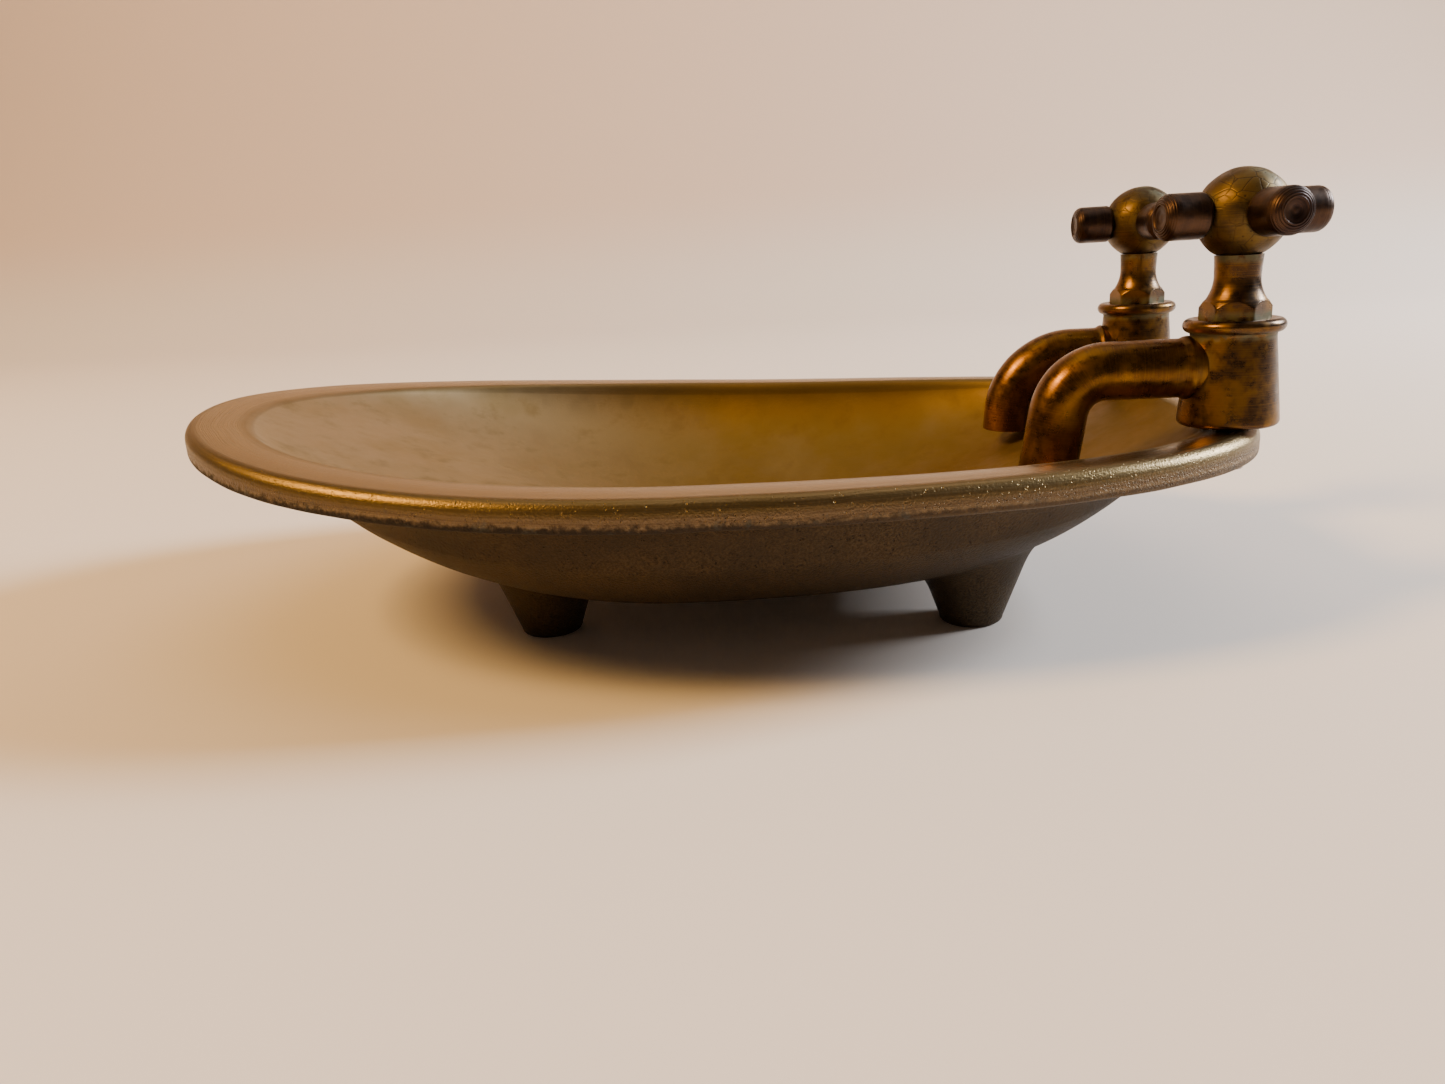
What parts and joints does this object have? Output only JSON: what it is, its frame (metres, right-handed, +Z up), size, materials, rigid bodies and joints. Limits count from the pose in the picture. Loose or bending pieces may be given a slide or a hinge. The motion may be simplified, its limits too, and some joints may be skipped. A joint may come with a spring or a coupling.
{
  "type": "soap dish",
  "caption": "Cast brass soap dish shaped like a slipper bath on stub feet, with miniature pillar taps whose cross handles turn.",
  "frame": {"origin": "on the surface that the feet stand on, under the middle of the whole object", "axes": "+X from the raised head end to the tap end, +Y to the rear side, +Z up"},
  "size_m": [0.1841, 0.1214, 0.0666],
  "materials": {
    "cast_brass": "satin",
    "aged_brass": "satin",
    "steel": "satin"
  },
  "bodies": {
    "dish": {"tub": "cast_brass", "front_tap_body": "aged_brass", "front_spout": "aged_brass", "front_bonnet": "aged_brass", "front_washer": "aged_brass", "front_fixing_screw": "steel", "rear_tap_body": "aged_brass", "rear_spout": "aged_brass", "rear_bonnet": "aged_brass", "rear_washer": "aged_brass", "rear_fixing_screw": "steel"},
    "front_handle": {"front_spindle": "aged_brass", "front_spindle_clip": "steel", "front_handle_ball": "aged_brass", "front_handle_arm_1": "aged_brass", "front_handle_arm_2": "aged_brass", "front_handle_arm_3": "aged_brass", "front_handle_arm_4": "aged_brass"},
    "rear_handle": {"rear_spindle": "aged_brass", "rear_spindle_clip": "steel", "rear_handle_ball": "aged_brass", "rear_handle_arm_1": "aged_brass", "rear_handle_arm_2": "aged_brass", "rear_handle_arm_3": "aged_brass", "rear_handle_arm_4": "aged_brass"}
  },
  "joints": [
    {"name": "front_handle_turn", "type": "hinge", "parent": "dish", "child": "front_handle", "pos_m": [0.0796, -0.02415, 0.0601], "axis": [0, 0, 1], "continuous": true},
    {"name": "rear_handle_turn", "type": "hinge", "parent": "dish", "child": "rear_handle", "pos_m": [0.0796, 0.02415, 0.0596], "axis": [0, 0, 1], "continuous": true}
  ]
}
